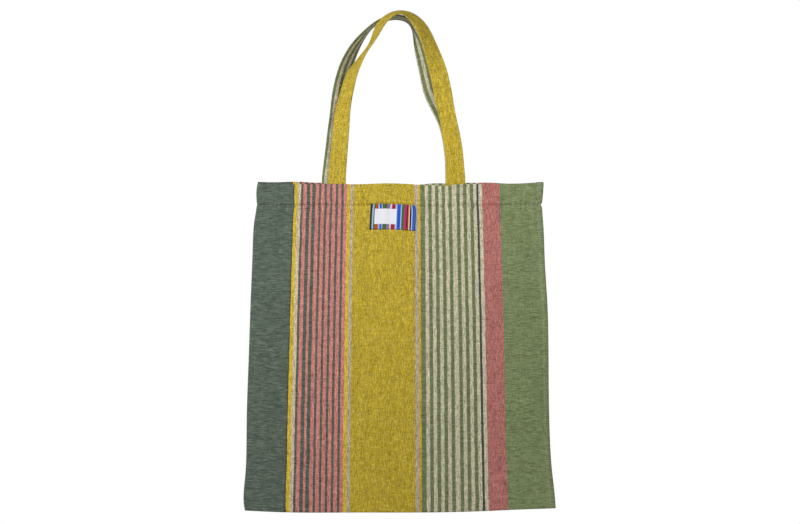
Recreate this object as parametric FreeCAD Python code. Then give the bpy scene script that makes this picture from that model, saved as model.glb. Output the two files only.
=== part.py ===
import FreeCAD, Part
import math
import os

# A striped canvas tote bag that hangs empty by its two handles.
# Units are millimetres. The front faces -Y, +X is to the viewer's right and +Z is up.
# The origin is the point under the handles' arch where a hook or peg carries the bag.

Vec = FreeCAD.Vector
FRONT = -1
BACK = 1

# Body of the bag
CLOTH = 1.0                 # thickness of one layer of canvas
HANDLE_DROP = 231.0         # from the hang point down to the front hem
BODY_HEIGHT = 415.0         # from the front hem down to the bottom seam
BACK_RISE = 2.0             # the back hem stands this much above the front one
TOP_HALF_WIDTH = 186.0
BOTTOM_HALF_WIDTH = 190.0
SEAM_HALF_GAP = 1.35        # from the mid plane to a panel's inner face at a seam
MOUTH_BELLY = 6.0           # how far each panel stands off the seam plane at the hem
BODY_BELLY = 12.0           # the same at half height, on top of what the mouth gives

# Seams and hems
SEAM_ALLOWANCE = 10.0       # two layers of cloth turned inside along each seam
HEM_DEPTH = 30.0
LAYER_GAP = 0.05            # air between two layers of cloth that lie together

# Handles
STRAP_WIDTH = 24.0
STRAP_THICKNESS = 2.2
TAIL_DEPTH = 27.0           # length of strap that is sewn to the inside of a hem
TAIL_THICKNESS = 2.0
FOLD_GAP = 2.5              # bare fold line between a tail and the handle that swings on it

HEM_Z = -HANDLE_DROP
BOTTOM_Z = HEM_Z - BODY_HEIGHT
TOP_Z = {FRONT: HEM_Z, BACK: HEM_Z + BACK_RISE}
FRONT_BASE_Z = TOP_Z[FRONT] + FOLD_GAP
BACK_BASE_Z = TOP_Z[BACK] + FOLD_GAP

# Handle centre lines from the left hem to the right hem, as x, y, z and twist in degrees.
# At twist 0 the strap lies flat against the bag, at 90 it lies flat over the hook.
FRONT_ROUTE = [
    (-82.1, -4, FRONT_BASE_Z, 12), (-80.5, -5, -200, 17), (-77.3, -6, -160, 22),
    (-73.4, -6, -120, 35), (-68, -6, -98, 40), (-63.4, -6.5, -82, 48), (-54.6, -7, -65, 60),
    (-44.4, -8, -49, 67), (-38, -9.5, -39.5, 66), (-29.6, -11, -22.4, 59), (-17.4, -11.5, -3.9, 55),
    (2, -7, 4.4, 53), (19.7, -5, -4.1, 44), (36.2, -5.5, -31.8, 33), (44.9, -5.5, -58, 19),
    (51.8, -6, -84, 3), (56.6, -6, -109, -9), (60.9, -6, -134, -25), (65.4, -6, -158, -27),
    (70.5, -5, -192, -14), (71.9, -4, FRONT_BASE_Z, -3),
]
BACK_ROUTE = [
    (-90.2, 4, BACK_BASE_Z, 5), (-88.6, 5, -205, 10), (-84.9, 6, -165, 21), (-81.9, 7, -130, 28),
    (-78.3, 8, -94.5, 38), (-69, 9, -57, 58), (-55.1, 11, -28.7, 82), (-37.8, 13, -5.9, 98),
    (-21, 15, 5.1, 103), (-3, 13.5, 7.5, 102), (9.7, 12.2, 2.3, 97), (18.9, 10.5, -11.2, 82),
    (27.2, 9.5, -33.2, 50), (36.5, 9, -72, 26), (43.7, 8.5, -102.4, 18), (61.2, 8, -142, 20),
    (69.2, 7, -178, 14), (71.5, 4, BACK_BASE_Z, 0),
]
SECTIONS_PER_STRAP = 52

# Label
LABEL_CENTRE_X = -9.0
LABEL_WIDTH = 60.0
LABEL_HEIGHT = 34.0
LABEL_BELOW_HEM = 29.0
LABEL_THICKNESS = 0.6

# Thread
STITCH_LENGTH = 2.6
STITCH_WIDTH = 0.5
STITCH_HEIGHT = 0.25
STITCH_PITCH = 4.0
STITCHES_PER_SECTION = 2    # on each edge of a strap, in every straight run of it
EDGE_INSET = 2.0            # from an edge of a strap or label to its row of stitches
SEAM_INSET = 1.6            # from a seam's edge to its row of stitches


# ---- the shape of the body -------------------------------------------------

def depth_share(z):
    """0 at the front hem and 1 at the bottom seam."""
    return min(max((HEM_Z - z) / BODY_HEIGHT, 0.0), 1.0)


def half_width(z):
    return TOP_HALF_WIDTH + (BOTTOM_HALF_WIDTH - TOP_HALF_WIDTH) * depth_share(z)


def belly(x, z):
    """How far a panel's inner face stands off the seam plane."""
    share = depth_share(z)
    stand = MOUTH_BELLY * (1 - share) + BODY_BELLY * math.sin(math.pi * share)
    across = x / half_width(z)
    return stand * (1 - across * across)


def on_panel(side, x, z, inward=0.0):
    """A point at a depth inward of one panel's inner face."""
    return Vec(x, side * (SEAM_HALF_GAP + belly(x, z) - inward), z)


def layer(side, x_range, z_levels, outer, inner):
    """A layer of cloth that follows a panel, between two depths inward of its inner face."""
    sections = []
    for z in z_levels:
        left, right = x_range(z)
        steps = [left + (right - left) * i / 8 for i in range(9)]
        outside = Part.BSplineCurve()
        outside.interpolate([on_panel(side, x, z, outer) for x in steps])
        inside = Part.BSplineCurve()
        inside.interpolate([on_panel(side, x, z, inner) for x in steps])
        ends = [
            Part.makeLine(on_panel(side, right, z, outer), on_panel(side, right, z, inner)),
            Part.makeLine(on_panel(side, left, z, inner), on_panel(side, left, z, outer)),
        ]
        sections.append(Part.Wire([outside.toShape(), ends[0], inside.toShape(), ends[1]]))
    return Part.makeLoft(sections, True, False)


def levels(top, bottom, shares):
    return [top + (bottom - top) * share for share in shares]


def panel(side):
    shares = (0, 0.04, 0.1, 0.2, 0.35, 0.5, 0.65, 0.8, 0.9, 0.96, 1)
    z_levels = levels(TOP_Z[side], BOTTOM_Z, shares)
    return layer(side, lambda z: (-half_width(z), half_width(z)), z_levels, -CLOTH, 0.0)


def hem(side):
    """The top edge turned to the inside, between the two side seams."""
    def reach(z):
        inner = half_width(z) - SEAM_ALLOWANCE - 1.0
        return -inner, inner
    z_levels = levels(TOP_Z[side], TOP_Z[side] - HEM_DEPTH, (0, 0.5, 1))
    return layer(side, reach, z_levels, LAYER_GAP, LAYER_GAP + CLOTH)


def tail(side, centre_x):
    """The end of a strap, sewn to the inside of a hem."""
    start = 4 * LAYER_GAP + CLOTH
    z_levels = levels(TOP_Z[side], TOP_Z[side] - TAIL_DEPTH, (0, 0.5, 1))
    half = STRAP_WIDTH / 2
    return layer(side, lambda z: (centre_x - half, centre_x + half), z_levels, start,
                 start + TAIL_THICKNESS)


def label():
    z_top = HEM_Z - LABEL_BELOW_HEM
    z_levels = levels(z_top, z_top - LABEL_HEIGHT, (0, 0.5, 1))
    half = LABEL_WIDTH / 2
    face = -CLOTH - LAYER_GAP
    return layer(FRONT, lambda z: (LABEL_CENTRE_X - half, LABEL_CENTRE_X + half), z_levels,
                 face - LABEL_THICKNESS, face)


def side_seam(side_x):
    """The two seam allowances inside one side edge."""
    edge = [Vec(side_x * TOP_HALF_WIDTH, -CLOTH, HEM_Z), Vec(side_x * BOTTOM_HALF_WIDTH, -CLOTH, BOTTOM_Z)]
    turn = Vec(-side_x * SEAM_ALLOWANCE, 0, 0)
    corners = [edge[0], edge[1], edge[1] + turn, edge[0] + turn, edge[0]]
    return Part.Face(Part.makePolygon(corners)).extrude(Vec(0, 2 * CLOTH, 0))


def bottom_seam():
    half = BOTTOM_HALF_WIDTH - SEAM_ALLOWANCE - 0.5
    return Part.makeBox(2 * half, 2 * CLOTH, SEAM_ALLOWANCE, Vec(-half, -CLOTH, BOTTOM_Z))


# ---- handles ---------------------------------------------------------------

class Strap:
    """A twisted ribbon along a route, with a frame at every point of its length."""

    def __init__(self, side, route):
        self.side = side
        points = [Vec(*stop[:3]) for stop in route]
        twists = [Vec(stop[3], 0, 0) for stop in route]
        spans = [0.0]
        for start, end in zip(points, points[1:]):
            spans.append(spans[-1] + start.distanceToPoint(end))
        self.line = Part.BSplineCurve()
        self.line.interpolate(Points=points, Parameters=spans)
        self.twist = Part.BSplineCurve()
        self.twist.interpolate(Points=twists, Parameters=spans)
        self.span = spans[-1]

    def frame(self, share):
        """Centre, unit vectors across the strap and out of its face, and along it."""
        where = self.span * share
        centre = self.line.value(where)
        along = Vec(*self.line.tangent(where)[0])
        outward = Vec(-along.z, 0, along.x).normalize()
        level = along.cross(outward).normalize()
        if level.y < 0:
            level = level * -1
        angle = math.radians(self.twist.value(where).x)
        across = outward * math.cos(angle) - level * (self.side * math.sin(angle))
        face = outward * math.sin(angle) + level * (self.side * math.cos(angle))
        return centre, across.normalize(), face.normalize(), along

    def on_face(self, section, offset):
        """A point of the outer face at one section, at an offset across the strap."""
        centre, across, face, along = self.frame(section / SECTIONS_PER_STRAP)
        return centre + across * offset + face * (STRAP_THICKNESS / 2)

    def solid(self):
        sections = []
        for i in range(SECTIONS_PER_STRAP + 1):
            centre, across, face, along = self.frame(i / SECTIONS_PER_STRAP)
            half = across * (STRAP_WIDTH / 2)
            rise = face * (STRAP_THICKNESS / 2)
            corners = [centre + half + rise, centre - half + rise, centre - half - rise,
                       centre + half - rise]
            sections.append(Part.makePolygon(corners + corners[:1]))
        return Part.makeLoft(sections, True, True)

    def stitching(self):
        """A row of stitches along each edge of the outer face, flat on its straight runs."""
        inset = STRAP_WIDTH / 2 - EDGE_INSET
        blocks = []
        for i in range(SECTIONS_PER_STRAP):
            for edge in (-inset, inset):
                start = self.on_face(i, edge)
                run = self.on_face(i + 1, edge) - start
                for k in range(STITCHES_PER_SECTION):
                    share = (k + 0.5) / STITCHES_PER_SECTION
                    middle = start + run * share
                    centre, across, face, along = self.frame((i + share) / SECTIONS_PER_STRAP)
                    near = self.on_face(i, 0) * (1 - share) + self.on_face(i + 1, 0) * share
                    out = run.cross(near - middle).normalize()
                    if out.dot(face) < 0:
                        out = out * -1
                    blocks.append(stitch(middle + out * LAYER_GAP, Vec(run).normalize(), out))
        return Part.makeCompound(blocks)


# ---- stitching -------------------------------------------------------------

def stitch(at, along, out):
    """One stitch: a short block of thread that lies on a face."""
    aside = out.cross(along).normalize()
    out = along.cross(aside).normalize()
    block = Part.makeBox(STITCH_LENGTH, STITCH_WIDTH, STITCH_HEIGHT,
                         Vec(-STITCH_LENGTH / 2, -STITCH_WIDTH / 2, 0))
    block.Placement = FreeCAD.Placement(FreeCAD.Matrix(
        along.x, aside.x, out.x, at.x,
        along.y, aside.y, out.y, at.y,
        along.z, aside.z, out.z, at.z,
        0, 0, 0, 1))
    return block


def row(side, start, end, inward, facing_out=True):
    """Stitches on a layer that follows a panel, from one (x, z) to another."""
    count = max(int(math.dist(start, end) / STITCH_PITCH), 2)
    blocks = []
    for i in range(count):
        share = (i + 0.5) / count
        x = start[0] + (end[0] - start[0]) * share
        z = start[1] + (end[1] - start[1]) * share
        slope_x = (on_panel(side, x + 1, z) - on_panel(side, x - 1, z)).normalize()
        slope_z = (on_panel(side, x, z + 1) - on_panel(side, x, z - 1)).normalize()
        along = slope_x if abs(end[0] - start[0]) > abs(end[1] - start[1]) else slope_z
        out = slope_z.cross(slope_x).normalize() * side
        if out.y * side < 0:
            out = out * -1
        if not facing_out:
            out = out * -1
        blocks.append(stitch(on_panel(side, x, z, inward), along, out))
    return blocks


def hem_stitching(side):
    z = TOP_Z[side] - HEM_DEPTH + 1.5
    reach = half_width(z) - 3.0
    return Part.makeCompound(row(side, (-reach, z), (reach, z), -CLOTH - 2 * LAYER_GAP))


def anchor_stitching(side, centres):
    """Rows through the hem that hold the tail of each strap."""
    inside = 6 * LAYER_GAP + CLOTH + TAIL_THICKNESS
    half = STRAP_WIDTH / 2 - EDGE_INSET
    top = TOP_Z[side] - 3.0
    low = TOP_Z[side] - TAIL_DEPTH + 2.0
    blocks = []
    for x in centres:
        blocks += row(side, (x - half, top), (x + half, top), -CLOTH - 3 * LAYER_GAP)
        blocks += row(side, (x - half, top), (x + half, top), inside, False)
        blocks += row(side, (x - half, low), (x + half, low), inside, False)
    return Part.makeCompound(blocks)


def label_stitching():
    half = LABEL_WIDTH / 2 - EDGE_INSET
    left = LABEL_CENTRE_X - half
    right = LABEL_CENTRE_X + half
    high = HEM_Z - LABEL_BELOW_HEM - EDGE_INSET
    low = high - LABEL_HEIGHT + 2 * EDGE_INSET
    face = -CLOTH - 3 * LAYER_GAP - LABEL_THICKNESS
    corners = [(left, high), (right, high), (right, low), (left, low), (left, high)]
    inset = STITCH_PITCH / 2
    blocks = []
    for start, end in zip(corners, corners[1:]):
        share = inset / math.dist(start, end)
        shift = [(end[0] - start[0]) * share, (end[1] - start[1]) * share]
        blocks += row(FRONT, (start[0] + shift[0], start[1] + shift[1]),
                      (end[0] - shift[0], end[1] - shift[1]), face)
    return Part.makeCompound(blocks)


def side_seam_stitching(side_x):
    """The lock stitches that close one side seam, on the turned-in layers."""
    blocks = []
    count = int((BODY_HEIGHT - 2 * STITCH_PITCH) / STITCH_PITCH)
    for i in range(count):
        z = HEM_Z - STITCH_PITCH - i * STITCH_PITCH
        x = side_x * (half_width(z) - SEAM_INSET)
        blocks.append(stitch(Vec(x, -CLOTH - LAYER_GAP / 2, z), Vec(0, 0, 1), Vec(0, -1, 0)))
    return Part.makeCompound(blocks)


def bottom_seam_stitching():
    reach = BOTTOM_HALF_WIDTH - SEAM_ALLOWANCE - 4.0
    count = int(2 * reach / STITCH_PITCH)
    blocks = []
    for i in range(count + 1):
        x = -reach + 2 * reach * i / count
        at = Vec(x, -CLOTH - LAYER_GAP / 2, BOTTOM_Z + SEAM_INSET)
        blocks.append(stitch(at, Vec(1, 0, 0), Vec(0, -1, 0)))
    return Part.makeCompound(blocks)


# ---- the whole bag ---------------------------------------------------------

def build():
    front_strap = Strap(FRONT, FRONT_ROUTE)
    back_strap = Strap(BACK, BACK_ROUTE)
    front_ends = (FRONT_ROUTE[0][0], FRONT_ROUTE[-1][0])
    back_ends = (BACK_ROUTE[0][0], BACK_ROUTE[-1][0])
    return {
        "front_panel": panel(FRONT),
        "back_panel": panel(BACK),
        "front_hem": hem(FRONT),
        "back_hem": hem(BACK),
        "left_side_seam": side_seam(-1),
        "right_side_seam": side_seam(1),
        "bottom_seam": bottom_seam(),
        "front_handle": front_strap.solid(),
        "back_handle": back_strap.solid(),
        "front_left_tail": tail(FRONT, front_ends[0]),
        "front_right_tail": tail(FRONT, front_ends[1]),
        "back_left_tail": tail(BACK, back_ends[0]),
        "back_right_tail": tail(BACK, back_ends[1]),
        "woven_label": label(),
        "front_hem_stitching": hem_stitching(FRONT),
        "back_hem_stitching": hem_stitching(BACK),
        "front_anchor_stitching": anchor_stitching(FRONT, front_ends),
        "back_anchor_stitching": anchor_stitching(BACK, back_ends),
        "front_handle_stitching": front_strap.stitching(),
        "back_handle_stitching": back_strap.stitching(),
        "label_stitching": label_stitching(),
        "left_seam_stitching": side_seam_stitching(-1),
        "right_seam_stitching": side_seam_stitching(1),
        "bottom_seam_stitching": bottom_seam_stitching(),
    }


def main():
    os.makedirs("parts", exist_ok=True)
    for node, shape in build().items():
        shape.exportStep("parts/" + node + ".step")
        print(node, "valid", shape.isValid(), "solids", len(shape.Solids), "mm3", round(shape.Volume))


main()
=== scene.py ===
import math

import bmesh
import bpy
import numpy as np
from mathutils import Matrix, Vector


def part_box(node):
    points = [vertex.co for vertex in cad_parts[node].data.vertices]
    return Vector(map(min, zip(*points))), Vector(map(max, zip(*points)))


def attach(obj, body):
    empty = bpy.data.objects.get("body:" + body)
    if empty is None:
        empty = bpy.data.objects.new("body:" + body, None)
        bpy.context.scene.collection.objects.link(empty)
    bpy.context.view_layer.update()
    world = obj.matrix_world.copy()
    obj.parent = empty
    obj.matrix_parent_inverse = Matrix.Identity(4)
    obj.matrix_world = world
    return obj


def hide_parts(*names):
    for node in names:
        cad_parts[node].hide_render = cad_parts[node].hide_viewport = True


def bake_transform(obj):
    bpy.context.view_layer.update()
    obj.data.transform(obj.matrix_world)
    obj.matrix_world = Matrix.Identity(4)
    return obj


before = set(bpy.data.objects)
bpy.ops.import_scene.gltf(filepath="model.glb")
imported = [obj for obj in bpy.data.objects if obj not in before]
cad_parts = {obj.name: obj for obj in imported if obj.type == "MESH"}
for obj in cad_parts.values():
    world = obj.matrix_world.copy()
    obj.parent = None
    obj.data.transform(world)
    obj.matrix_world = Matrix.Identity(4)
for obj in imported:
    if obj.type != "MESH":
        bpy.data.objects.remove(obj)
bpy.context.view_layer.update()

# A striped canvas tote bag, hanging empty. Everything is in metres in the frame's own axes:
# the front faces -Y, +Z is up and the origin is the point that the hook carries.

MM = 0.001
FRONT, BACK = -1, 1

# ---- sizes taken from the frame ---------------------------------------------

front_low, front_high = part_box("front_panel")
back_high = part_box("back_panel")[1]
HEM_Z = front_high.z
BOTTOM_Z = front_low.z
BODY_HEIGHT = HEM_Z - BOTTOM_Z
BOTTOM_HALF = front_high.x
TOP_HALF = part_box("left_side_seam")[0].x * -1 - 4 * MM
HEM_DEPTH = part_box("front_hem")[1].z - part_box("front_hem")[0].z

# ---- how the cloth is made and how it hangs ---------------------------------

CLOTH_WIDTH = 380 * MM          # of each panel between its seams, laid flat
CLOTH = 1.0 * MM
SEAM_HALF_GAP = 1.35 * MM
MOUTH_BELLY = 6.0 * MM
BODY_BELLY = 12.0 * MM
EDGE_ROUND = 2.4 * MM           # how far in from an edge the cloth turns over
EDGE_STAND = 0.55 * MM          # where the cloth's middle lies once it is inside a seam
TUCK_ROUND = 0.6 * MM           # radius of the turn into a seam
ALLOWANCE = 9.0 * MM            # cloth inside each seam
STITCH_DROP = HEM_DEPTH - 1.5 * MM
TURN_UNDER = 8 * MM             # raw edge turned under inside the hem
TOP_FOLD = 0.6 * MM             # radius of the fold along the top of a hem
FINE_BELOW_HEM = 14 * MM        # how far below the hem the mesh stays fine, for the puckers
GATHER_FADE = 45 * MM           # how far down the gathers below a hem reach
EDGE_BLEND = 30 * MM            # how far in from a side its outline still moves the stripes
COLUMN_STEP = 1.3 * MM
BACK_SHIFT = 3.5 * MM           # the back's stripes lie this much to the left of the front's

# Stripes of the cloth, from its left edge, as colour and width in millimetres.
STRIPES = (
    [("slate", 48.7), ("navy", 1.2), ("yellow", 4.5), ("tan", 4.4)]
    + [("bottle", 3.15), ("pink", 4.42)] * 8
    + [("yellow", 4.3), ("lilac", 4.4), ("mustard", 79.1), ("lilac", 4.5), ("ochre", 4.2)]
    + [("leaf", 4.6), ("cream", 4.6)] * 8
    + [("navy", 3.2), ("cream", 4.3), ("rose", 23.7), ("fern", 1.2), ("moss", 49.4), ("sage", 2.4),
       ("moss", 5.0)]
)
DYES = {
    "slate": (72, 85, 76),
    "navy": (50, 56, 50),
    "yellow": (204, 174, 24),
    "tan": (202, 180, 150),
    "bottle": (66, 80, 72),
    "pink": (198, 118, 112),
    "lilac": (178, 163, 144),
    "mustard": (182, 156, 16),
    "ochre": (192, 160, 24),
    "leaf": (102, 114, 72),
    "cream": (196, 188, 161),
    "rose": (175, 102, 98),
    "fern": (100, 136, 86),
    "moss": (116, 130, 84),
    "sage": (128, 139, 100),
}
WEFT = (120, 124, 108)
THREAD_DYE = (126, 122, 92)
STRAP_THREAD_DYE = (184, 160, 58)

# Handle centre lines in millimetres, as x, y, z and twist in degrees, from the inside of the
# left hem to the inside of the right hem. At twist 0 a strap lies flat against the bag.
FRONT_ROUTE = [
    (-82.1, -4.1, -257, 0), (-82.1, -3.4, -244, 0), (-82.1, -3, -231, 8), (-80.5, -5, -200, 17),
    (-77.3, -6, -160, 22), (-73.4, -6, -120, 35), (-68, -6, -98, 40), (-63.4, -6.5, -82, 48),
    (-54.6, -7, -65, 60), (-44.4, -8, -49, 67), (-38, -9.5, -39.5, 66), (-29.6, -11, -22.4, 59),
    (-17.4, -11.5, -3.9, 55), (2, -7, 4.4, 53), (19.7, -5, -4.1, 44), (36.2, -5.5, -31.8, 33),
    (44.9, -5.5, -58, 19), (51.8, -6, -84, 3), (56.6, -6, -109, -9), (60.9, -6, -134, -25),
    (65.4, -6, -158, -27), (70.5, -5, -192, -14), (71.9, -3.2, -231, -3), (71.9, -3.6, -244, 0),
    (71.9, -4.3, -257, 0),
]
BACK_ROUTE = [
    (-90.2, 3.9, -255, 0), (-90.2, 3.2, -242, 0), (-90.2, 2.8, -229, 3), (-88.6, 5, -205, 10),
    (-84.9, 6, -165, 21), (-81.9, 7, -130, 28), (-78.3, 8, -94.5, 38), (-69, 9, -57, 58),
    (-55.1, 11, -28.7, 82), (-37.8, 13, -5.9, 98), (-21, 15, 5.1, 103), (-3, 13.5, 7.5, 102),
    (9.7, 12.2, 2.3, 97), (18.9, 10.5, -11.2, 82), (27.2, 9.5, -33.2, 50), (36.5, 9, -72, 26),
    (43.7, 8.5, -102.4, 18), (61.2, 8, -142, 20), (69.2, 7, -178, 14), (71.5, 3.2, -229, 0),
    (71.5, 3.6, -242, 0), (71.5, 4.3, -255, 0),
]
STRAP_WIDTH = 24 * MM
STRAP_THICKNESS = 2.2 * MM
STRAP_STEPS = 420


def lerp_points(points, at):
    """Smoothly interpolates given (place, value) points."""
    places = np.array([p for p, _ in points], float)
    values = np.array([v for _, v in points], float)
    return cubic_spline(places, values[:, None], np.atleast_1d(at).ravel())[:, 0].reshape(np.shape(at))


def cubic_spline(knots, values, at):
    """Natural cubic spline through values at knots, evaluated at other places."""
    n = len(knots)
    gap = np.diff(knots)
    slope = np.diff(values, axis=0) / gap[:, None]
    system = np.eye(n)
    right = np.zeros_like(values)
    for i in range(1, n - 1):
        system[i, i - 1:i + 2] = gap[i - 1], 2 * (gap[i - 1] + gap[i]), gap[i]
        right[i] = 6 * (slope[i] - slope[i - 1])
    curve = np.linalg.solve(system, right)
    i = np.clip(np.searchsorted(knots, at) - 1, 0, n - 2)
    h = gap[i][:, None]
    a = (knots[i + 1][:, None] - at[:, None]) / h
    b = 1 - a
    bend = ((a ** 3 - a) * curve[i] + (b ** 3 - b) * curve[i + 1]) * h * h / 6
    return a * values[i] + b * values[i + 1] + bend


# ---- the shape of the hanging cloth -----------------------------------------

# How far each side edge strays from a straight line, in mm outward, by share of the depth.
LEFT_EDGE = [(0, -0.9), (0.03, 0.1), (0.065, -0.9), (0.12, 1.2), (0.2, 2.0), (0.35, 2.0), (0.55, 1.6),
             (0.75, 0.9), (0.9, 0.3), (0.985, 0.0), (1, -1.5)]
RIGHT_EDGE = [(0, 0.6), (0.03, -0.6), (0.065, -2.4), (0.12, -2.1), (0.25, -1.8), (0.38, -0.6),
              (0.5, -1.2), (0.65, -3.2), (0.78, -4.0), (0.88, -3.0), (0.95, -0.8), (1, 0)]
# How far the top and bottom edges stray from level, in mm upward, by place across.
FRONT_TOP = [(-1, -1.2), (-0.9, -1.6), (-0.7, -2.2), (-0.4, -3.0), (-0.3, -3.2), (-0.22, -2.8), (-0.1, -2.0),
             (0, -2.4), (0.08, -3.3), (0.14, -4.2), (0.26, -4.8), (0.32, -5.6), (0.38, -4.0), (0.45, -2.9),
             (0.6, -2.4), (0.8, -1.3), (0.92, -0.5), (1, 0.1)]
BACK_TOP = [(-1, 0.2), (-0.85, 0.4), (-0.76, 1.2), (-0.69, 1.2), (-0.62, 0.4), (-0.55, 0.3), (-0.45, -0.6),
            (-0.35, -3.0), (-0.24, -2.4), (-0.14, -1.9), (0, -2.3), (0.14, -1.7), (0.2, -0.6),
            (0.26, 0.1), (0.32, -0.2), (0.38, 0.1), (0.45, 0.2), (0.56, 0.4), (0.64, 0.2), (0.74, -1.2),
            (0.85, -1.3), (0.95, -0.4), (1, 0.0)]
BOTTOM = [(-1, 2.0), (-0.8, 0.2), (-0.3, -0.4), (0.1, -0.4), (0.5, 1.0), (0.75, 3.0), (1, 4.6)]


def bump_at(value, centre, width):
    return np.exp(-((value - centre) / width) ** 2)


def depth_share(z):
    return np.clip((HEM_Z - z) / BODY_HEIGHT, 0, 1)


def side_edges(z):
    """The bag's left and right edge at height z, and the straight lines they stray from."""
    share = depth_share(z)
    half = TOP_HALF + (BOTTOM_HALF - TOP_HALF) * share
    notch = bump_at(HEM_Z - z, STITCH_DROP, 2.2 * MM)
    left = half + (lerp_points(LEFT_EDGE, share) - 0.5 * notch) * MM
    right = half + (lerp_points(RIGHT_EDGE, share) - 1.8 * notch) * MM
    return -left, right, half


def waves(side, a, share):
    """Soft unevenness of cloth that hangs: gathers under the hem and slack lower down."""
    phase = 0.0 if side == FRONT else 2.1
    below = share * BODY_HEIGHT - STITCH_DROP
    gather = np.exp(-np.clip(below, 0, None) / GATHER_FADE) * np.clip((below + 0.012) / 0.012, 0, 1)
    ripples = np.sin(a * 41 + phase) + 0.7 * np.sin(a * 67 + 1.3 + phase) + 0.5 * np.sin(a * 103 - 0.4)
    slack = (np.sin(a * 5.2 + 2.4 * share + phase) * np.sin(math.pi * share)
             + 0.6 * np.sin(a * 11.0 - 3.0 * share + 0.7) * share * (1 - share) * 4)
    drag = 0
    for base in (-0.43, 0.385):
        drag = drag + bump_at(a, base, 0.06 + 0.5 * share) * np.exp(-share * 4.5)
    return (0.28 * gather * ripples + 0.9 * slack + 1.2 * drag) * MM


def puckers(side, a, drop):
    """The groove that the hem's stitching pulls, with small puckers along it and a step below it."""
    off = (drop - STITCH_DROP) / MM
    place = a * TOP_HALF / MM
    swing = place * 2 * math.pi / 6.2 + 1.1 * np.sin(place / 9.0 + side) + 0.7 * np.sin(place / 23.0)
    depth = (1.7 + 0.45 * np.sin(place / 13.0 + 2 * side)) * (1 - 0.4 * a ** 8)
    groove = -depth * np.exp(-(off / 2.1) ** 2)
    small = 0.6 * np.cos(swing) * np.exp(-np.abs(off) / 5.0)
    step = 0.5 / (1 + np.exp(off / 0.8)) * np.exp(np.clip(off, None, 0) / 12.0)
    top = 0.15 * np.cos(swing * 0.7 + 1.0) * np.exp(-drop / (4 * MM))
    return (groove + small + step + top) * MM


def pull(side, a, drop):
    """How far sideways the hem's stitching drags the stripes."""
    place = a * TOP_HALF / MM
    swing = 0.7 * np.sin(place / 3.3 + side) + 0.5 * np.sin(place / 7.1 + 2.0)
    return swing * MM * bump_at(drop, STITCH_DROP, 5 * MM) * (1 - a * a)


def tuck(past):
    """Past an edge the cloth turns into the seam: how far in it is, and how far from the middle."""
    angle = np.clip(past / TUCK_ROUND, 0, math.pi / 2)
    inside = TUCK_ROUND * (1 - np.cos(angle)) + np.clip(past - TUCK_ROUND * math.pi / 2, 0, None)
    return inside, TUCK_ROUND * (1 - np.sin(angle))


def turn_over(stand, distance, extra):
    """Brings the cloth towards the bag's middle plane where it nears an edge."""
    round_off = np.sqrt(np.clip(1 - (1 - np.clip(distance / EDGE_ROUND, 0, 1)) ** 2, 0, 1))
    base = EDGE_STAND + np.minimum(extra, stand - EDGE_STAND)
    return base + (stand - base) * round_off


def hang(side, a, drop, inward, past_side=0.0, past_bottom=0.0):
    """Where the cloth's middle surface lies.

    a is -1 at the left edge and 1 at the right one, drop is the distance below the top of the
    hem, inward is the distance inside the outermost layer, and past_side and past_bottom are how
    much cloth has gone round into a seam.
    """
    top = HEM_Z + (back_high.z - HEM_Z if side == BACK else 0)
    top = top + lerp_points(BACK_TOP if side == BACK else FRONT_TOP, a) * MM
    bottom = BOTTOM_Z + lerp_points(BOTTOM, a) * MM
    share = np.clip(drop / BODY_HEIGHT, 0, 1)
    z = top - (top - bottom) * drop / BODY_HEIGHT
    left, right, half = side_edges(z)
    x = a * half
    x = x + (left + half) * np.exp(-(a + 1) * half / EDGE_BLEND)
    x = x + (right - half) * np.exp((a - 1) * half / EDGE_BLEND)
    x = x + pull(side, a, drop)
    belly = (MOUTH_BELLY * (1 - share) + BODY_BELLY * np.sin(math.pi * share)) * (1 - a * a)
    fade = np.clip((1 - np.abs(a)) / 0.06, 0, 1)
    loose = (waves(side, a, share) * np.clip((1 - share) / 0.05, 0, 1)) * fade
    loose = loose + puckers(side, a, drop) * np.clip((1 - np.abs(a)) / 0.01, 0, 1)
    stand = SEAM_HALF_GAP + CLOTH / 2 + belly + loose
    side_in, side_extra = tuck(past_side)
    bottom_in, bottom_extra = tuck(past_bottom)
    stand = turn_over(stand, np.minimum(x - left, right - x), side_extra)
    stand = turn_over(stand, (BODY_HEIGHT - drop) * np.ones_like(stand), bottom_extra)
    inward = np.minimum(inward, np.clip(stand - EDGE_STAND, 0, None))
    x = x - np.sign(a) * side_in
    return np.stack([x, side * (stand - inward), z + bottom_in + 0 * x], -1)


# ---- mesh helpers -----------------------------------------------------------

def new_object(name, points, faces, uvs=None):
    """A smooth mesh object. uvs holds one (u, v) in metres of cloth for each corner of each face."""
    mesh = bpy.data.meshes.new(name)
    mesh.from_pydata([tuple(p) for p in points], [], faces)
    if uvs is not None:
        layer = mesh.uv_layers.new(name="cloth")
        layer.data.foreach_set("uv", np.array(uvs, np.float32).ravel())
    mesh.polygons.foreach_set("use_smooth", [True] * len(mesh.polygons))
    mesh.update()
    made = bpy.data.objects.new(name, mesh)
    bpy.context.scene.collection.objects.link(made)
    return made


def grid_normals(grid):
    down = np.gradient(grid, axis=0)
    over = np.gradient(grid, axis=1)
    normal = np.cross(down, over)
    return normal / np.maximum(np.linalg.norm(normal, axis=2, keepdims=True), 1e-12)


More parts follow.
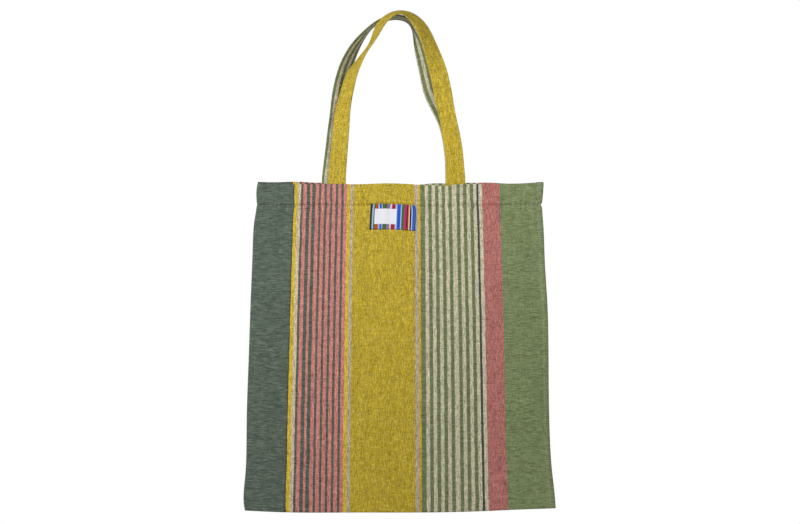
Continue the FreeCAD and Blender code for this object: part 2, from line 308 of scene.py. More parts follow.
def cloth_piece(name, grid, flat, thickness):
    """A closed sheet of even thickness about a grid of points; flat gives each point's (u, v)."""
    rows, columns = grid.shape[:2]
    normal = grid_normals(grid)
    points = np.concatenate([(grid + normal * thickness / 2).reshape(-1, 3),
                             (grid - normal * thickness / 2).reshape(-1, 3)])
    count = rows * columns
    index = np.arange(count).reshape(rows, columns)
    a, b = index[:-1, :-1].ravel(), index[:-1, 1:].ravel()
    c, d = index[1:, 1:].ravel(), index[1:, :-1].ravel()
    quads = [np.stack([a, d, c, b], 1), np.stack([a, b, c, d], 1) + count]
    border = np.concatenate([index[0, :], index[1:, -1], index[-1, -2::-1], index[-2:0:-1, 0]])
    after = np.roll(border, -1)
    quads.append(np.stack([border, after, after + count, border + count], 1))
    faces = np.concatenate(quads)
    both = np.concatenate([flat.reshape(-1, 2)] * 2)
    made = new_object(name, points, faces.tolist(), both[faces].reshape(-1, 2))
    fix_normals(made)
    return made


def columns():
    """Places across a panel and the cloth gone past its side edges, closer together at the turns."""
    turn = EDGE_ROUND / BOTTOM_HALF
    edge = [turn * (1 - math.cos(math.pi / 2 * i / 6)) for i in range(6)]
    middle = np.linspace(-1 + turn, 1 - turn, int(2 * BOTTOM_HALF / COLUMN_STEP))
    across = np.concatenate([[-1 + e for e in edge], middle, [1 - e for e in reversed(edge)]])
    corner = TUCK_ROUND * math.pi / 2
    past = np.concatenate([np.linspace(corner / 4, corner, 4), np.linspace(corner, ALLOWANCE, 6)[1:]])
    ends = np.ones(len(past))
    return (np.concatenate([-ends, across, ends]),
            np.concatenate([past[::-1], 0 * across, past]))


def hem_path():
    """Drop, inward distance and cloth past the bottom, from the raw edge in the hem to the bottom seam."""
    steps = []
    layer = CLOTH * 1.2
    fold = HEM_DEPTH - 1 * MM
    for i in range(8):
        steps.append((fold - TURN_UNDER * (1 - i / 7), layer, 0))
    for i in range(1, 8):
        turn = math.pi * i / 8
        steps.append((fold + math.sin(turn) * layer / 2, layer * (1.5 - 0.5 * math.cos(turn)), 0))
    for i in range(21):
        share = i / 20
        steps.append((fold - (fold - TOP_FOLD) * share, layer * (2 - share), 0))
    for i in range(1, 8):
        turn = math.pi * i / 8
        steps.append((TOP_FOLD - math.sin(turn) * TOP_FOLD, layer * (0.5 + 0.5 * math.cos(turn)), 0))
    fine_end = HEM_DEPTH + FINE_BELOW_HEM
    for i in range(60):
        steps.append((TOP_FOLD + (fine_end - TOP_FOLD) * i / 59, 0, 0))
    turn_start = BODY_HEIGHT - EDGE_ROUND
    for i in range(1, 91):
        steps.append((fine_end + (turn_start - fine_end) * i / 90, 0, 0))
    for i in range(1, 7):
        steps.append((BODY_HEIGHT - EDGE_ROUND * math.cos(math.pi / 2 * i / 6), 0, 0))
    corner = TUCK_ROUND * math.pi / 2
    for i in range(1, 5):
        steps.append((BODY_HEIGHT, 0, corner * i / 4))
    for i in range(1, 6):
        steps.append((BODY_HEIGHT, 0, corner + (ALLOWANCE - corner) * i / 5))
    return np.array(steps)


def canvas_panel(name, side):
    across, past_side = columns()
    path = hem_path()
    a, drop = np.meshgrid(across, path[:, 0])
    past, inward = np.meshgrid(past_side, path[:, 1])
    past_bottom = np.repeat(path[:, 2][:, None], len(across), 1)
    grid = hang(side, a, drop, inward, past, past_bottom)
    steps = np.hypot(np.hypot(np.diff(path[:, 0]), np.diff(path[:, 1])), np.diff(path[:, 2]))
    length = np.concatenate([[0], np.cumsum(steps)])
    u = (a + 1) / 2 * CLOTH_WIDTH + np.sign(a) * past
    if side == BACK:
        u = u + BACK_SHIFT
    flat = np.stack([u, -np.repeat(length[:, None], len(across), 1)], -1)
    return cloth_piece(name, grid, flat, CLOTH)


# ---- handles ----------------------------------------------------------------

OUTER_U = 168.7 * MM            # middle of the mustard field
INNER_U = 236.56 * MM           # middle of a green stripe between cream ones
INNER_SCALE = 0.95              # under 1, so the stripes on a strap are drawn wider than on the bag
EDGE_ROW = 9.6 * MM             # of the dent that the edge stitching makes, from a strap's middle
CREASE_AT = 31.5 * MM           # of the front strap's crease, from its left end
THREAD_ROW = 9.7 * MM           # of the edge stitching itself, from a strap's middle
THREAD_PITCH = 3.4 * MM


def strap_frames(side, route):
    """Points along a strap with unit vectors across it, out of its outer face, and its length so far."""
    route = np.array(route, float)
    knots = np.concatenate([[0], np.cumsum(np.linalg.norm(np.diff(route[:, :3], axis=0), axis=1))])
    fine = cubic_spline(knots, route, np.linspace(0, knots[-1], STRAP_STEPS + 1))
    centre = fine[:, :3] * MM
    twist = np.radians(fine[:, 3])[:, None]
    along = np.gradient(centre, axis=0)
    along /= np.linalg.norm(along, axis=1, keepdims=True)
    outward = np.stack([-along[:, 2], 0 * along[:, 0], along[:, 0]], 1)
    outward /= np.linalg.norm(outward, axis=1, keepdims=True)
    level = np.cross(along, outward)
    level /= np.linalg.norm(level, axis=1, keepdims=True)
    level *= np.where(level[:, 1:2] < 0, -1, 1)
    across = outward * np.cos(twist) - side * level * np.sin(twist)
    face = outward * np.sin(twist) + side * level * np.cos(twist)
    length = np.concatenate([[0], np.cumsum(np.linalg.norm(np.diff(centre, axis=0), axis=1))])
    return centre, across, face, along, length


def crown(x):
    """How far a strap's face stands out x from its middle: a slight crown with two stitched dents."""
    dent = 0.3 * MM * math.exp(-((abs(x) - EDGE_ROW) / (0.7 * MM)) ** 2)
    return 0.12 * MM * (1 - (x / (STRAP_WIDTH / 2)) ** 2) - dent


def strap_section():
    """Outline of a folded strap, as (across, out) going round once."""
    thick = STRAP_THICKNESS / 2
    flat_half = STRAP_WIDTH / 2 - thick
    places = np.linspace(-flat_half, flat_half, 15)
    ring = []
    for x in places:
        ring.append((x, thick + crown(x)))
    for i in range(1, 6):
        turn = math.pi * i / 6
        ring.append((flat_half + math.sin(turn) * thick, math.cos(turn) * thick))
    for x in places[::-1]:
        ring.append((x, -thick - crown(x)))
    for i in range(1, 6):
        turn = math.pi * i / 6
        ring.append((-flat_half - math.sin(turn) * thick, -math.cos(turn) * thick))
    return ring


def widen(side, length):
    """The front strap is a little wider where it runs into the hem on the right."""
    if side == BACK:
        return 0 * length
    return 0.08 * np.clip((length - length[-1] + 56 * MM) / (22 * MM), 0, 1) ** 2


def strap(name, side, route):
    centre, across, face, along, length = strap_frames(side, route)
    ring = strap_section()
    around = len(ring)
    out = np.array([r[1] for r in ring])[None, :]
    s = length[:, None]
    x = np.array([r[0] for r in ring])[None, :] * (1 + widen(side, length)[:, None])
    seed = 1.0 if side == FRONT else 4.0
    ripple = 0.18 * np.sin(s * 140 + seed + x * 260) + 0.15 * np.sin(s * 61 + 2 * seed)
    ripple = ripple + np.abs(x / (STRAP_WIDTH / 2)) ** 3 * 0.4 * np.sin(s * 95 + seed + 2 * np.sign(x))
    if side == FRONT:
        crease = s - CREASE_AT - 0.22 * x
        ripple = ripple - 0.55 * np.exp(-(crease / (0.9 * MM)) ** 2) + 0.3 * bump_at(crease, 2 * MM, 1.5 * MM)
    offset = out + ripple * MM
    points = (centre[:, None, :] + across[:, None, :] * x[:, :, None]
              + face[:, None, :] * offset[:, :, None]).reshape(-1, 3)
    faces = []
    uvs = []
    for i in range(len(centre) - 1):
        for k in range(around):
            n = (k + 1) % around
            faces.append((i * around + k, i * around + n, (i + 1) * around + n, (i + 1) * around + k))
            outer = (ring[k][1] + ring[n][1]) / 2 > side * 0.65 * STRAP_THICKNESS / 2
            for step, which in ((i, k), (i, n), (i + 1, n), (i + 1, k)):
                at = ring[which][0]
                uvs.append((OUTER_U + at if outer else INNER_U + at * INNER_SCALE, length[step]))
    last = (len(centre) - 1) * around
    caps = (list(range(around))[::-1], list(range(around)))
    for cap, start in zip(caps, (0, last)):
        faces.append(tuple(start + k for k in cap))
        uvs += [(INNER_U + ring[k][0] * INNER_SCALE, ring[k][1]) for k in cap]
    made = new_object(name, points, faces, uvs)
    fix_normals(made)
    return made


def fix_normals(made):
    work = bmesh.new()
    work.from_mesh(made.data)
    bmesh.ops.recalc_face_normals(work, faces=work.faces)
    work.to_mesh(made.data)
    work.free()


# ---- stitches ---------------------------------------------------------------

# Length, width and height of one stitch.
HEM_STITCH = (2.5 * MM, 0.55 * MM, 0.5 * MM)
STRAP_STITCH = (2.3 * MM, 0.5 * MM, 0.4 * MM)
SEAM_STITCH = (4.2 * MM, 0.5 * MM, 0.4 * MM)
LABEL_STITCH = (1.8 * MM, 0.35 * MM, 0.3 * MM)
HEM_INSIDE = 2.35 * MM          # from the cloth's outer layer to the inner face of a hem
ROW_PITCH = 3.2 * MM
OVERLOCK_PITCH = 3.5 * MM


def capsule():
    """A short thread, 1 long, 1 wide and 1 high, along X, standing on z = 0: points and faces."""
    points = []
    rings = [(-0.5, 0.35), (-0.42, 0.75), (-0.25, 1.0), (0.0, 1.0), (0.25, 1.0), (0.42, 0.75), (0.5, 0.35)]
    sides = 8
    for x, size in rings:
        for k in range(sides):
            turn = 2 * math.pi * k / sides
            points.append((x, 0.5 * size * math.cos(turn), 0.15 + 0.5 * size * math.sin(turn)))
    faces = []
    for r in range(len(rings) - 1):
        for k in range(sides):
            n = (k + 1) % sides
            faces.append((r * sides + k, (r + 1) * sides + k, (r + 1) * sides + n, r * sides + n))
    faces.append(tuple(range(sides)))
    faces.append(tuple((len(rings) - 1) * sides + k for k in reversed(range(sides))))
    return np.array(points), faces


def stitches(name, places, size=HEM_STITCH):
    """Threads at (point, along, out) places, as one piece."""
    shape, shape_faces = capsule()
    shape = shape * np.array(size)
    points = []
    faces = []
    for at, along, out in places:
        aside = np.cross(out, along)
        aside /= np.linalg.norm(aside)
        start = sum(len(p) for p in points)
        points.append(at + shape[:, :1] * along + shape[:, 1:2] * aside + shape[:, 2:] * out)
        faces += [tuple(start + k for k in f) for f in shape_faces]
    made = new_object(name, np.concatenate(points), faces)
    fix_normals(made)
    return made


def seam_row(side, x_from, x_to, drop_from, drop_to, inward=0.0):
    """Places for stitches in a straight line on a panel: on its outside, or inside if inward is set."""
    def at(x, drop):
        return hang(side, np.array([x / TOP_HALF]), np.array([drop]), np.array([inward]))[0]
    length = math.hypot(x_to - x_from, drop_to - drop_from)
    count = max(int(length / ROW_PITCH), 2)
    places = []
    for i in range(count):
        share = (i + 0.5) / count
        x = x_from + (x_to - x_from) * share
        drop = drop_from + (drop_to - drop_from) * share
        over = at(x + 0.3 * MM, drop) - at(x - 0.3 * MM, drop)
        down = at(x, drop + 0.3 * MM) - at(x, drop - 0.3 * MM)
        out = np.cross(over, down)
        out /= np.linalg.norm(out)
        outside = 1 if inward == 0 else -1
        out = out * np.sign(out[1]) * side * outside
        along = over * (x_to - x_from) + down * (drop_to - drop_from)
        places.append((at(x, drop) + out * (CLOTH / 2 - 0.1 * MM), along / np.linalg.norm(along), out))
    return places


def strap_rows(side, route):
    """Stitches along both edges of a handle's outer face, above the hem."""
    centre, across, face, along, length = strap_frames(side, route)
    places = []
    hem_top = HEM_Z if side == FRONT else back_high.z
    step = length[-1] / STRAP_STEPS
    count = int(length[-1] / THREAD_PITCH)
    for i in range(count):
        k = int(round((i + 0.5) * THREAD_PITCH / step))
        if centre[k][2] < hem_top + 3 * MM:
            continue
        for edge in (-1, 1):
            at = centre[k] + across[k] * (edge * THREAD_ROW) + face[k] * (STRAP_THICKNESS / 2 - 0.28 * MM)
            places.append((at, along[k], face[k]))
    return places


def anchor_rows(side, route):
    """Rows through the hem that hold a handle's two ends: one outside, two on the tails inside."""
    centre, across, face, along, length = strap_frames(side, route)
    places = []
    reach = 10 * MM
    hem_top = HEM_Z if side == FRONT else back_high.z
    for half in (slice(0, len(centre) // 2), slice(len(centre) // 2, None)):
        x = centre[half][np.argmin(centre[half][:, 2])][0]
        places += seam_row(side, x - reach, x + reach, 3.0 * MM, 3.0 * MM)
        for below in (4 * MM, 23 * MM):
            k = np.argmin(np.abs(centre[half][:, 2] - (hem_top - below))) + (half.start or 0)
            for i in range(6):
                shift = (i - 2.5) * 3.3 * MM
                at = centre[k] + across[k] * shift - face[k] * (STRAP_THICKNESS / 2 + 0.05 * MM)
                places.append((at, across[k], -face[k]))
    return places


def overlock(start, end):
    """Slanted thread over the raw edges of two layers inside a seam, on both faces."""
    start, end = np.array(start), np.array(end)
    run = (end - start) / np.linalg.norm(end - start)
    inner = np.cross(run, (0, 1, 0))
    count = int(np.linalg.norm(end - start) / OVERLOCK_PITCH)
    places = []
    for i in range(count):
        at = start + run * (i + 0.5) * OVERLOCK_PITCH
        for face in (FRONT, BACK):
            out = np.array((0.0, face, 0.0))
            slant = inner + run * 0.45 * face
            places.append((at + out * 1.0 * MM, slant / np.linalg.norm(slant), out))
    return places


# ---- materials --------------------------------------------------------------

def linear(rgb):
    """Linear colour of an sRGB colour given as 0 to 255."""
    made = []
    for value in rgb:
        c = value / 255
        made.append(c / 12.92 if c <= 0.04045 else ((c + 0.055) / 1.055) ** 2.4)
    return (*made, 1.0)


class Nodes:
    """Short names for making a material's nodes."""

    def __init__(self, name):
        self.material = bpy.data.materials.new(name)
        self.material.use_nodes = True
        self.tree = self.material.node_tree
        self.shader = self.tree.nodes["Principled BSDF"]

    def link(self, value, socket):
        if isinstance(value, bpy.types.NodeSocket):
            self.tree.links.new(value, socket)
        else:
            socket.default_value = value

    def math(self, operation, a, b=0.0, c=0.0, clamp=False):
        node = self.tree.nodes.new("ShaderNodeMath")
        node.operation = operation
        node.use_clamp = clamp
        for value, socket in zip((a, b, c), node.inputs):
            self.link(value, socket)
        return node.outputs[0]

    def vector(self, x, y, z=0.0):
        node = self.tree.nodes.new("ShaderNodeCombineXYZ")
        for value, socket in zip((x, y, z), node.inputs):
            self.link(value, socket)
        return node.outputs[0]

    def noise(self, vector, scale=1.0, detail=2.0, rough=0.5):
        node = self.tree.nodes.new("ShaderNodeTexNoise")
        node.noise_dimensions = "3D"
        self.link(vector, node.inputs["Vector"])
        node.inputs["Scale"].default_value = scale
        node.inputs["Detail"].default_value = detail
        node.inputs["Roughness"].default_value = rough
        return node.outputs["Fac"]

    def ramp(self, value, stops, constant=False):
        node = self.tree.nodes.new("ShaderNodeValToRGB")
        band = node.color_ramp
        band.interpolation = "CONSTANT" if constant else "LINEAR"
        while len(band.elements) > 1:
            band.elements.remove(band.elements[-1])
        band.elements[0].position = stops[0][0]
        band.elements[0].color = stops[0][1]
        for place, colour in stops[1:]:
            band.elements.new(place).color = colour
        self.link(value, node.inputs[0])
        return node.outputs[0]

    def mix(self, share, a, b):
        node = self.tree.nodes.new("ShaderNodeMix")
        node.data_type = "RGBA"
        self.link(share, node.inputs[0])
        self.link(a, node.inputs[6])
        self.link(b, node.inputs[7])
        return node.outputs[2]

    def range(self, value, low, high, to_low=0.0, to_high=1.0):
        node = self.tree.nodes.new("ShaderNodeMapRange")
        node.clamp = True
        self.link(value, node.inputs[0])
        for number, socket in zip((low, high, to_low, to_high), node.inputs[1:5]):
            self.link(number, socket)
        return node.outputs[0]

    def uv(self):
        node = self.tree.nodes.new("ShaderNodeUVMap")
        node.uv_map = "cloth"
        split = self.tree.nodes.new("ShaderNodeSeparateXYZ")
        self.tree.links.new(node.outputs[0], split.inputs[0])
        return split.outputs[0], split.outputs[1]

    def scale_colour(self, colour, factor):
        node = self.tree.nodes.new("ShaderNodeVectorMath")
        node.operation = "SCALE"
        self.link(colour if isinstance(colour, bpy.types.NodeSocket) else colour[:3], node.inputs[0])
        self.link(factor, node.inputs["Scale"])
        return node.outputs[0]

    def bump(self, height, strength, distance):
        node = self.tree.nodes.new("ShaderNodeBump")
        node.inputs["Strength"].default_value = strength
        node.inputs["Distance"].default_value = distance
        self.link(height, node.inputs["Height"])
        self.tree.links.new(node.outputs[0], self.shader.inputs["Normal"])


def plain_weave(n, i, j):
    """Height of a plain weave, 0 to 1, where i and j count its warp and weft threads, and where
    the weft lies on top."""
    warp_round = n.math("ABSOLUTE", n.math("SINE", n.math("MULTIPLY", i, math.pi)))
    weft_round = n.math("ABSOLUTE", n.math("SINE", n.math("MULTIPLY", j, math.pi)))
    which = n.math("ADD", n.math("FLOOR", i), n.math("FLOOR", j))
    odd = n.math("PINGPONG", which, 1.0)
    warp = n.math("MULTIPLY", warp_round, n.math("MULTIPLY_ADD", odd, 0.45, 0.55))
    weft = n.math("MULTIPLY", weft_round, n.math("MULTIPLY_ADD", odd, -0.6, 0.88))
    return n.math("MAXIMUM", warp, weft), n.math("GREATER_THAN", weft, warp)


RAMP_STOPS = 22                 # a colour ramp holds at most 32, so the stripes are shared by two


def stripe_colour(n, u):
    """The cloth's warp stripes, from two ramps with hard edges."""
    total = sum(width for _, width in STRIPES)
    edges = np.concatenate([[0], np.cumsum([width for _, width in STRIPES])]) / total
    ramps = []
    for part in (range(0, RAMP_STOPS), range(RAMP_STOPS, len(STRIPES))):
        ramps.append([(float(edges[i]), linear(DYES[STRIPES[i][0]])) for i in part])
    place = n.math("DIVIDE", u, CLOTH_WIDTH)
    first = n.ramp(place, ramps[0], constant=True)
    second = n.ramp(place, ramps[1], constant=True)
    return n.mix(n.math("GREATER_THAN", place, float(edges[RAMP_STOPS])), first, second)


def thread_tone(n, thread, length, stretch, seed):
    """A tone of -1 to 1 that differs from thread to thread and drifts along each one."""
    which = n.math("MULTIPLY_ADD", n.math("FLOOR", thread), 7.31, 0.37)
    tone = n.noise(n.vector(which, n.math("MULTIPLY", length, stretch), seed), 1.0, 1.0)
    return n.range(tone, 0.25, 0.75, -1, 1)


WARP_PITCH = 0.72 * MM
WEFT_PITCH = 0.8 * MM


def canvas_material(name, seed):
    """Striped canvas: a plain weave whose threads, streaks, mottle and slubs vary in tone, and whose low
    places between the threads are darkened as painted shade.
    """
    n = Nodes(name)
    u, v = n.uv()
    drift = n.noise(n.vector(n.math("MULTIPLY", u, 60), n.math("MULTIPLY", v, 40), seed), 1.0)
    u = n.math("MULTIPLY_ADD", n.math("SUBTRACT", drift, 0.5), 1.2 * MM, u)
    i = n.math("DIVIDE", u, WARP_PITCH)
    j = n.math("DIVIDE", v, WEFT_PITCH)
    weave, over = plain_weave(n, i, j)
    warp_tone = thread_tone(n, i, v, 150, seed + 3.3)
    weft_tone = thread_tone(n, j, u, 110, seed + 7.7)
    streak = n.noise(n.vector(n.math("MULTIPLY", u, 125), n.math("MULTIPLY", v, 520), seed), 1.0, 2.0, 0.6)
    streak = n.range(streak, 0.3, 0.7, -1, 1)
    mottle = n.noise(n.vector(n.math("MULTIPLY", u, 480), n.math("MULTIPLY", v, 460), seed), 1.0, 2.0, 0.7)
    specks = n.range(mottle, 0.64, 0.76, 0.0, 1.0)
    mottle = n.range(mottle, 0.3, 0.7, -1, 1)
    slub = n.noise(n.vector(n.math("MULTIPLY", u, 210), n.math("MULTIPLY", v, 9), seed + 5.0), 1.0, 2.0, 0.6)
    slub = n.range(slub, 0.3, 0.7, -1, 1)
    stripe = stripe_colour(n, u)
    split = n.tree.nodes.new("ShaderNodeSeparateColor")
    n.tree.links.new(stripe, split.inputs[0])
    bright = n.range(split.outputs[0], 0.2, 0.4)
    warp_colour = n.scale_colour(stripe, n.math("MULTIPLY_ADD", warp_tone, 0.14, 1.0))
    weft_colour = n.scale_colour(linear(WEFT), n.math("MULTIPLY_ADD", weft_tone, 0.3, 1.0))
    share = n.math("MULTIPLY_ADD", over, 0.3, 0.05)
    share = n.math("MULTIPLY_ADD", weft_tone, 0.08, share, clamp=True)
    share = n.math("MULTIPLY_ADD", streak, 0.06, share, clamp=True)
    colour = n.mix(share, warp_colour, weft_colour)
    # light scales the colour: the uneven tone of threads, streaks, mottle, specks and slubs is the cloth's
    # own, and the last factor is painted shade.
    light = n.math("MULTIPLY_ADD", weft_tone, n.range(bright, 0, 1, 0.3, 0.13), 1.0)
    light = n.math("MULTIPLY_ADD", streak, n.range(bright, 0, 1, 0.13, 0.04), light)
    light = n.math("MULTIPLY_ADD", warp_tone, n.range(bright, 0, 1, 0.08, 0.28), light)
    light = n.math("MULTIPLY_ADD", mottle, n.range(bright, 0, 1, 0.14, 0.31), light)
    light = n.math("MULTIPLY_ADD", specks, -0.22, light)
    light = n.math("MULTIPLY_ADD", slub, n.range(bright, 0, 1, 0.02, 0.04), light)
    # Painted shade: the colour is darkened where the weave lies low, between the threads.
    light = n.math("MULTIPLY", light, n.range(weave, 0.1, 0.9, 0.76, 1.1))
    n.link(n.scale_colour(colour, light), n.shader.inputs["Base Color"])
    n.shader.inputs["Roughness"].default_value = 0.9
    n.shader.inputs["Specular IOR Level"].default_value = 0.1
    n.shader.inputs["Sheen Weight"].default_value = 0.03
    n.shader.inputs["Sheen Roughness"].default_value = 0.6
    height = n.math("MULTIPLY_ADD", weft_tone, 0.35, weave)
    height = n.math("MULTIPLY_ADD", streak, 0.5, height)
    n.bump(height, 0.6, 0.25 * MM)
    return n.material


def thread_material(name, rgb):
    n = Nodes(name)
    place = n.tree.nodes.new("ShaderNodeTexCoord").outputs["Object"]
    tone = n.noise(place, 900.0, 2.0)
    ply = n.noise(place, 3500.0, 1.0)
    n.link(n.scale_colour(linear(rgb), n.range(tone, 0.3, 0.7, 0.8, 1.15)), n.shader.inputs["Base Color"])
    n.shader.inputs["Roughness"].default_value = 0.7
    n.shader.inputs["Sheen Weight"].default_value = 0.1
    n.bump(ply, 0.4, 0.1 * MM)
    return n.material


# ---- label ------------------------------------------------------------------

LABEL_WIDTH = 58.2 * MM
LABEL_HEIGHT = 34.2 * MM
LABEL_CENTRE = -8.5 * MM
LABEL_TOP = 27.3 * MM           # below the top of the hem
LABEL_SLANT = 1.4 * MM          # how far the label is sewn askew from edge to edge
LABEL_STAND = 0.95 * MM         # of its middle surface, off the middle of the canvas
LABEL_PATCH = (0.094, 0.575)    # from where to where across the label the pale patch runs
PATCH_HALF = 0.3                # half the patch's share of the label's height
# Where each coloured band of the label starts, as a share of its width.
LABEL_BANDS = [
    ("ink", 0.0), ("pale", 0.042), ("grass", 0.072), ("white", 0.094), ("pale", 0.575), ("royal", 0.592),
    ("pale", 0.667), ("grass", 0.69), ("magenta", 0.748), ("wine", 0.8), ("rust", 0.828), ("cream", 0.85),
    ("ink", 0.87), ("pale", 0.905), ("royal", 0.93),
]
# The bands above and below the pale patch.
SHORT_BANDS = [
    ("grass", 0.0), ("rust", 0.117), ("pale", 0.18), ("royal", 0.212), ("pale", 0.256), ("grass", 0.276),
    ("lilac", 0.362), ("lemon", 0.428), ("pale", 0.448), ("crimson", 0.462), ("pale", 0.55),
]
LABEL_DYES = {
    "ink": (14, 15, 40), "white": (214, 215, 220), "pale": (150, 172, 204), "grass": (66, 92, 44),
    "royal": (26, 76, 178), "magenta": (176, 40, 104), "wine": (74, 14, 30), "rust": (176, 68, 28),
    "cream": (226, 200, 140), "lilac": (128, 100, 160), "lemon": (226, 214, 96), "crimson": (152, 22, 50),
}


def label_point(s, t):
    """A point of the label's middle surface: s runs across it and t down it, both 0 to 1."""
    x = LABEL_CENTRE + (s - 0.5) * LABEL_WIDTH - t * LABEL_SLANT
    drop = LABEL_TOP + t * LABEL_HEIGHT + s * LABEL_SLANT
    a = x / side_edges(HEM_Z - drop)[2]
    curl = 0.25 * MM * np.sin(s * 9) * np.abs(t - 0.5) * 2
    return hang(FRONT, a, drop, 0.0) + np.array((0, FRONT * LABEL_STAND, 0)) + curl_out(curl)


def curl_out(curl):
    return np.stack([0 * curl, FRONT * (curl + 0.15 * MM), 0 * curl], -1)


def label():
    s, t = np.meshgrid(np.linspace(0, 1, 61), np.linspace(0, 1, 35))
    return cloth_piece("woven_label_face", label_point(s, t), np.stack([s, t], -1), 0.55 * MM)


def label_rows():
    """Stitches round the label, just inside its edge."""
    left, right = 0.03, 0.97
    high, low = 0.055, 0.945
    corners = [(left, high), (right, high), (right, low), (left, low), (left, high)]
    places = []
    for (s_from, t_from), (s_to, t_to) in zip(corners, corners[1:]):
        count = int(max(abs(s_to - s_from) * LABEL_WIDTH, abs(t_to - t_from) * LABEL_HEIGHT) / (2.6 * MM))
        for i in range(count):
            share = (i + 0.5) / count
            s = s_from + (s_to - s_from) * share
            t = t_from + (t_to - t_from) * share
            at, over, down = label_point(s, t), label_point(s + 0.01, t), label_point(s, t + 0.01)
            out = np.cross(down - at, over - at)
            out = out / np.linalg.norm(out) * (-1 if out[1] > 0 else 1)
            along = (over - at) if s_to != s_from else (down - at)
            places.append((at + out * 0.22 * MM, along / np.linalg.norm(along), out))
    return places


def label_material():
    n = Nodes("label_weave")
    s, t = n.uv()
    long_bands = n.ramp(s, [(place, linear(LABEL_DYES[dye])) for dye, place in LABEL_BANDS], constant=True)
    short_bands = n.ramp(s, [(place, linear(LABEL_DYES[dye])) for dye, place in SHORT_BANDS], constant=True)
    patch_from, patch_to = LABEL_PATCH
    across = n.math("MULTIPLY", n.math("GREATER_THAN", s, patch_from), n.math("LESS_THAN", s, patch_to))
    outside = n.math("GREATER_THAN", n.math("ABSOLUTE", n.math("SUBTRACT", t, 0.5)), PATCH_HALF)
    colour = n.mix(n.math("MULTIPLY", across, outside), long_bands, short_bands)
    threads, over = plain_weave(n, n.math("MULTIPLY", s, 150), n.math("MULTIPLY", t, 90))
    tone = n.noise(n.vector(n.math("MULTIPLY", s, 40), n.math("MULTIPLY", t, 30)), 1.0, 3.0)
    # Painted shade where the label's weave lies low, times the label's own uneven tone.
    weave_shade_and_tone = n.math("MULTIPLY", n.range(threads, 0.1, 0.9, 0.82, 1.04), n.range(tone, 0.3, 0.7, 0.92, 1.06))
    n.link(n.scale_colour(colour, weave_shade_and_tone), n.shader.inputs["Base Color"])
    n.shader.inputs["Roughness"].default_value = 0.55
    n.shader.inputs["Specular IOR Level"].default_value = 0.1
    n.bump(threads, 0.3, 0.1 * MM)
    return n.material


# ---- camera and light -------------------------------------------------------

CAMERA_PITCH = math.radians(11.0)
CAMERA_DISTANCE = 1250 * MM
TARGET = Vector((0, 0, -335 * MM))
LENS = 43.85
ROOM_LIGHT = 0.2                # strength of the white surroundings as a light


def camera():
    data = bpy.data.cameras.new("camera")
    data.lens = LENS
    data.sensor_width = 36
    data.clip_start = 0.05
    data.clip_end = 50
    made = bpy.data.objects.new("camera", data)
    back = Vector((0, -math.cos(CAMERA_PITCH), -math.sin(CAMERA_PITCH)))
    made.location = TARGET + back * CAMERA_DISTANCE
    made.rotation_euler = (-back).to_track_quat("-Z", "Y").to_euler()
    bpy.context.scene.collection.objects.link(made)
    bpy.context.scene.camera = made


def area_light(name, place, size, power):
    data = bpy.data.lights.new(name, "AREA")
    data.size = size
    data.energy = power
    made = bpy.data.objects.new(name, data)
    made.location = place
    aim = TARGET - Vector(place)
    made.rotation_euler = aim.to_track_quat("-Z", "Y").to_euler()
    bpy.context.scene.collection.objects.link(made)


def surroundings():
    """White all round to the camera, dimmer as a light, and three lamps."""
    world = bpy.data.worlds.new("studio")
    world.use_nodes = True
    nodes = world.node_tree.nodes
    links = world.node_tree.links
    light = nodes["Background"]
    light.inputs[0].default_value = (1, 1, 1, 1)
    light.inputs[1].default_value = ROOM_LIGHT
    seen = nodes.new("ShaderNodeBackground")
    seen.inputs[0].default_value = (1, 1, 1, 1)
    seen.inputs[1].default_value = 1.0
    rays = nodes.new("ShaderNodeLightPath")
    choose = nodes.new("ShaderNodeMixShader")
    links.new(rays.outputs["Is Camera Ray"], choose.inputs[0])
    links.new(light.outputs[0], choose.inputs[1])
    links.new(seen.outputs[0], choose.inputs[2])
    links.new(choose.outputs[0], nodes["World Output"].inputs[0])
    bpy.context.scene.world = world
    bpy.context.scene.view_settings.view_transform = "Standard"
    area_light("key", (-0.9, -0.9, 0.18), 0.6, 17)
    area_light("fill", (0.32, -0.55, -0.06), 0.4, 2.0)
    area_light("rear", (0.4, 2.2, 0.9), 1.6, 36)


FLOOR_HALF = 3.0
FLOOR_BELOW = 350 * MM          # from the bag's bottom down to the floor


def floor():
    size = FLOOR_HALF
    z = BOTTOM_Z - FLOOR_BELOW
    corners = [(-size, -size, z), (size, -size, z), (size, size, z), (-size, size, z)]
    made = new_object("floor", corners, [(0, 1, 2, 3)])
    n = Nodes("pale_floor")
    n.shader.inputs["Base Color"].default_value = (0.82, 0.82, 0.81, 1)
    n.shader.inputs["Roughness"].default_value = 0.8
    made.data.materials.append(n.material)


# ---- putting the bag together -----------------------------------------------

def place(piece, body, slot, material, *nodes):
    """Puts a piece on a body with its material, in place of the CAD nodes named."""
    piece.data.materials.append(material)
    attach(piece, body)
    if nodes:
        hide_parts(*nodes)


canvas = canvas_material("striped_canvas", 0.0)
strap_canvas = canvas_material("strap_canvas", 5.0)
thread = thread_material("thread", THREAD_DYE)
strap_thread = thread_material("strap_thread", STRAP_THREAD_DYE)

camera()

front = canvas_panel("front_canvas", FRONT)
place(front, "bag", "striped_canvas", canvas, "front_panel", "front_hem", "left_side_seam", "right_side_seam",
      "bottom_seam")
back = canvas_panel("back_canvas", BACK)
place(back, "bag", "striped_canvas", canvas, "back_panel", "back_hem")

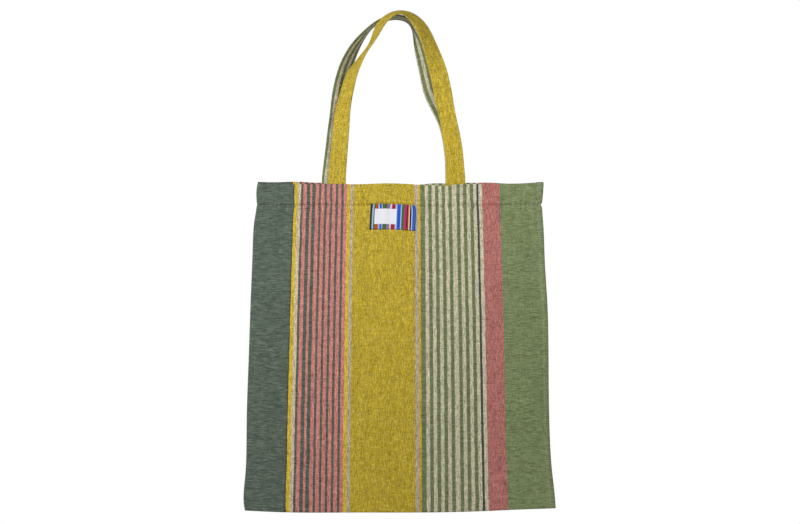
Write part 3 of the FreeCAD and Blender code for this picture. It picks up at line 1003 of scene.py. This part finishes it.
STRAPS = {
    FRONT: ("front", FRONT_ROUTE, HEM_Z),
    BACK: ("back", BACK_ROUTE, back_high.z),
}
for side, (word, route, hem_top) in STRAPS.items():
    ribbon = strap(word + "_strap", side, route)
    ribbon.data.materials.append(strap_canvas)
    rows = stitches(word + "_strap_thread", strap_rows(side, route), STRAP_STITCH)
    rows.data.materials.append(strap_thread)
    for piece, slot in ((ribbon, "strap_canvas"), (rows, "thread")):
        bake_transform(piece)
    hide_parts(word + "_handle", word + "_left_tail", word + "_right_tail")
    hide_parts(word + "_handle_stitching")

    reach = TOP_HALF - 4 * MM
    inner_drop = STITCH_DROP - 1.5 * MM
    hem_rows = seam_row(side, -reach, reach, STITCH_DROP, STITCH_DROP)
    hem_rows += seam_row(side, -reach, reach, inner_drop, inner_drop, HEM_INSIDE)
    place(stitches(word + "_hem_thread", hem_rows), "bag", "thread", thread, word + "_hem_stitching")
    place(stitches(word + "_anchor_thread", anchor_rows(side, route)), "bag", "thread", thread,
          word + "_anchor_stitching")

seams = {
    "left": ((-TOP_HALF + ALLOWANCE - 1 * MM, 0, HEM_Z - HEM_DEPTH - 2 * MM),
             (-BOTTOM_HALF + ALLOWANCE, 0, BOTTOM_Z + 12 * MM)),
    "right": ((TOP_HALF - ALLOWANCE, 0, HEM_Z - HEM_DEPTH - 2 * MM),
              (BOTTOM_HALF - ALLOWANCE - 2 * MM, 0, BOTTOM_Z + 12 * MM)),
    "bottom": ((-BOTTOM_HALF + 12 * MM, 0, BOTTOM_Z + ALLOWANCE - 1 * MM),
               (BOTTOM_HALF - 12 * MM, 0, BOTTOM_Z + ALLOWANCE + 2 * MM)),
}
for word, (start, end) in seams.items():
    place(stitches(word + "_seam_thread", overlock(start, end), SEAM_STITCH), "bag", "thread", thread,
          word + "_seam_stitching")

label_face = label()
place(label_face, "bag", "label_weave", label_material(), "woven_label")
place(stitches("label_thread", label_rows(), LABEL_STITCH), "bag", "thread", thread, "label_stitching")

surroundings()
floor()
